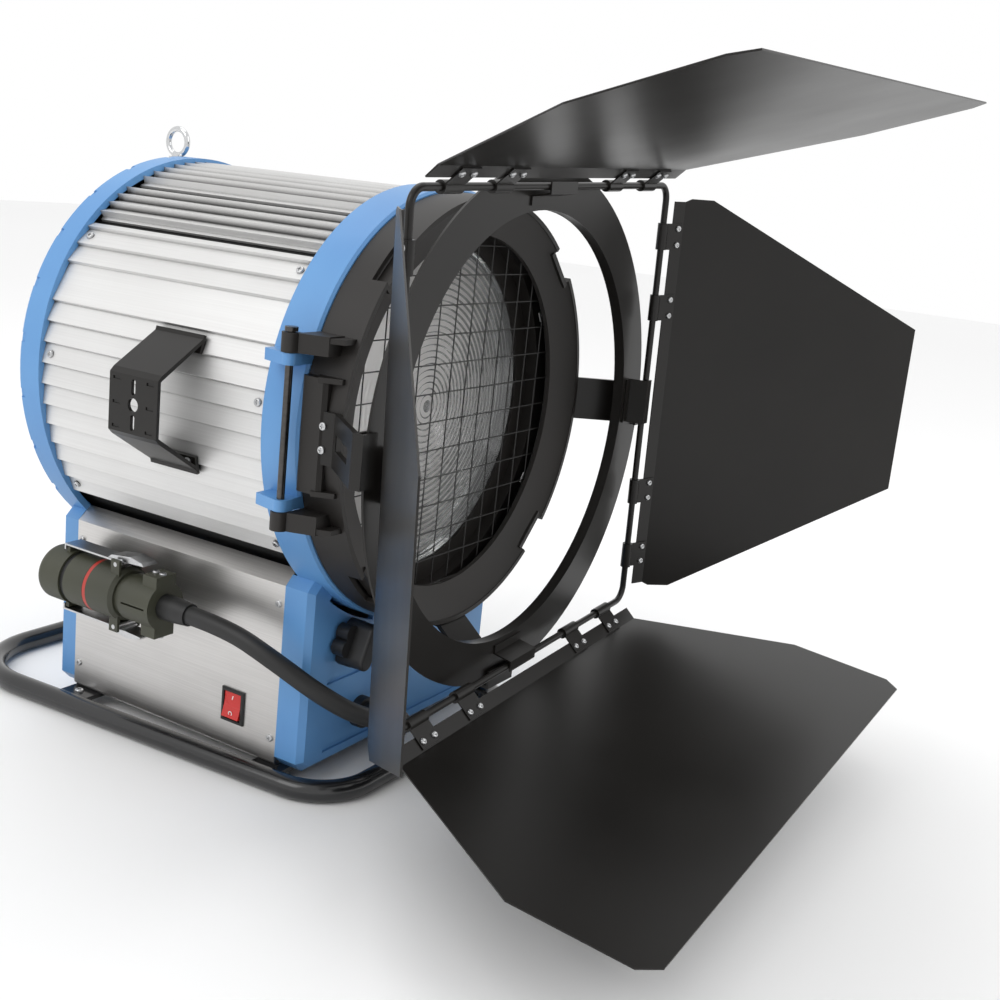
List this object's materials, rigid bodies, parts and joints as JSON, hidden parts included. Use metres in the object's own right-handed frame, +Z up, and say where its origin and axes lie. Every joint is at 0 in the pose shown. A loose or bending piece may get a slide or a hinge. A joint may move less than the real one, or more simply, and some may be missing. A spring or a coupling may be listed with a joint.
{
  "type": "fresnel spotlight",
  "caption": "Studio fresnel spotlight head with ribbed drum body, hinged lens door, four-leaf barndoor, focus knob, skid frame and latched tail connector.",
  "frame": {"origin": "centre of the base's flat underside, at the middle of the floor plate", "axes": "+Z up, the lens faces -Y, +X to the right seen from in front; the optical axis is parallel to Y at z = 303 mm"},
  "size_m": [0.8085, 0.7906, 0.6208],
  "materials": {
    "blue_paint": "satin",
    "brushed_aluminium": "brushed",
    "black_paint": "satin",
    "zinc_steel": "satin",
    "lens_glass": "polished",
    "lamp_glass": "polished",
    "polished_aluminium": "polished",
    "ceramic": "matte",
    "black_plastic": "matte",
    "red_plastic": "gloss",
    "olive_plastic": "matte",
    "red_band": "matte",
    "black_rubber": "matte"
  },
  "bodies": {
    "housing": {"base_cover_left": "brushed_aluminium", "base_cover_right": "brushed_aluminium", "base_floor_plate": "zinc_steel", "base_front_casting": "blue_paint", "base_rear_casting": "blue_paint", "body_screws": "zinc_steel", "cable_boot": "black_rubber", "cable_clamp_ring": "black_paint", "cable_clamp_screws": "zinc_steel", "cable_gland": "black_rubber", "cap_gasket": "black_rubber", "chassis_tray": "black_paint", "connector_body": "olive_plastic", "connector_cap": "olive_plastic", "connector_id_ring": "red_band", "door_interlock_switch": "black_plastic", "eye_bolt": "zinc_steel", "front_ring_casting": "blue_paint", "guide_rails": "zinc_steel", "head_cable": "black_rubber", "hinge_pin": "zinc_steel", "igniter_box": "black_paint", "inner_liner": "black_paint", "rear_cover": "black_paint", "rear_ring_casting": "blue_paint", "shoulder_panels": "brushed_aluminium", "side_brackets": "black_paint", "side_panels": "brushed_aluminium", "skid_frame": "black_paint", "skid_straps": "black_paint", "switch_body": "black_plastic", "terminal_block": "ceramic", "top_panel": "brushed_aluminium"},
    "lens_door": {"lens_door_frame": "black_paint", "fresnel_lens": "lens_glass", "lens_clips": "zinc_steel", "wire_guard": "zinc_steel", "accessory_brackets": "black_paint", "accessory_bracket_screws": "zinc_steel"},
    "door_thumbscrew": {"door_thumbscrew": "black_plastic"},
    "barndoor": {"barndoor_ring": "black_paint", "hinge_rod_frame": "black_paint", "rod_clips": "black_paint"},
    "leaf_top": {"leaf_top": "black_paint", "leaf_top_clips": "black_paint"},
    "leaf_bottom": {"leaf_bottom": "black_paint", "leaf_bottom_clips": "black_paint"},
    "leaf_left": {"leaf_left": "black_paint", "leaf_left_clips": "black_paint"},
    "leaf_right": {"leaf_right": "black_paint", "leaf_right_clips": "black_paint"},
    "focus_shaft": {"focus_knob": "black_plastic", "focus_screw": "zinc_steel"},
    "lamp_carriage": {"lamp_carriage": "zinc_steel", "lamp_socket": "ceramic", "discharge_lamp": "lamp_glass", "reflector": "polished_aluminium"},
    "switch_rocker": {"switch_rocker": "red_plastic"},
    "latch_upper": {"latch_upper": "zinc_steel"},
    "latch_lower": {"latch_lower": "zinc_steel"}
  },
  "joints": [
    {"name": "lens_door_hinge", "type": "hinge", "parent": "housing", "child": "lens_door", "pos_m": [-0.196, -0.158, 0.303], "axis": [0, 0, -1], "range_deg": [0, 105]},
    {"name": "door_thumbscrew_turn", "type": "hinge", "parent": "lens_door", "child": "door_thumbscrew", "pos_m": [0.187, -0.175, 0.263], "axis": [0, 1, 0], "continuous": true},
    {"name": "barndoor_turn", "type": "hinge", "parent": "lens_door", "child": "barndoor", "pos_m": [0, -0.2495, 0.299], "axis": [0, 1, 0], "continuous": true},
    {"name": "leaf_top_hinge", "type": "hinge", "parent": "barndoor", "child": "leaf_top", "pos_m": [-0.01057, -0.264, 0.50072], "axis": [-0.9986, 0, -0.0523], "range_deg": [-37, 57]},
    {"name": "leaf_bottom_hinge", "type": "hinge", "parent": "barndoor", "child": "leaf_bottom", "pos_m": [0.01057, -0.264, 0.09728], "axis": [0.9986, 0, 0.0523], "range_deg": [-25, 54]},
    {"name": "leaf_right_hinge", "type": "hinge", "parent": "barndoor", "child": "leaf_right", "pos_m": [0.20172, -0.264, 0.30957], "axis": [-0.0523, 0, 0.9986], "range_deg": [-85, 34]},
    {"name": "leaf_left_hinge", "type": "hinge", "parent": "barndoor", "child": "leaf_left", "pos_m": [-0.20172, -0.264, 0.28843], "axis": [0.0523, 0, -0.9986], "range_deg": [-95, 25]},
    {"name": "focus_knob_turn", "type": "hinge", "parent": "housing", "child": "focus_shaft", "pos_m": [-0.092, -0.15, 0.11], "axis": [0, 1, 0], "range_deg": [-793, 793]},
    {"name": "focus_travel", "type": "slide", "parent": "housing", "child": "lamp_carriage", "axis": [0, 1, 0], "range_m": [-0.044, 0.044]},
    {"name": "power_rocker", "type": "hinge", "parent": "housing", "child": "switch_rocker", "pos_m": [-0.136, -0.0735, 0.04], "axis": [0, -1, 0], "range_deg": [0, 19.2]},
    {"name": "connector_latch_upper", "type": "hinge", "parent": "housing", "child": "latch_upper", "pos_m": [-0.172, 0.026, 0.152], "axis": [1, 0, 0], "range_deg": [0, 20]},
    {"name": "connector_latch_lower", "type": "hinge", "parent": "housing", "child": "latch_lower", "pos_m": [-0.172, 0.026, 0.096], "axis": [-1, 0, 0], "range_deg": [0, 20]}
  ],
  "couplings": [
    {"joint": "focus_knob_turn", "follows": "focus_travel", "rad_per_m": 314.16}
  ]
}
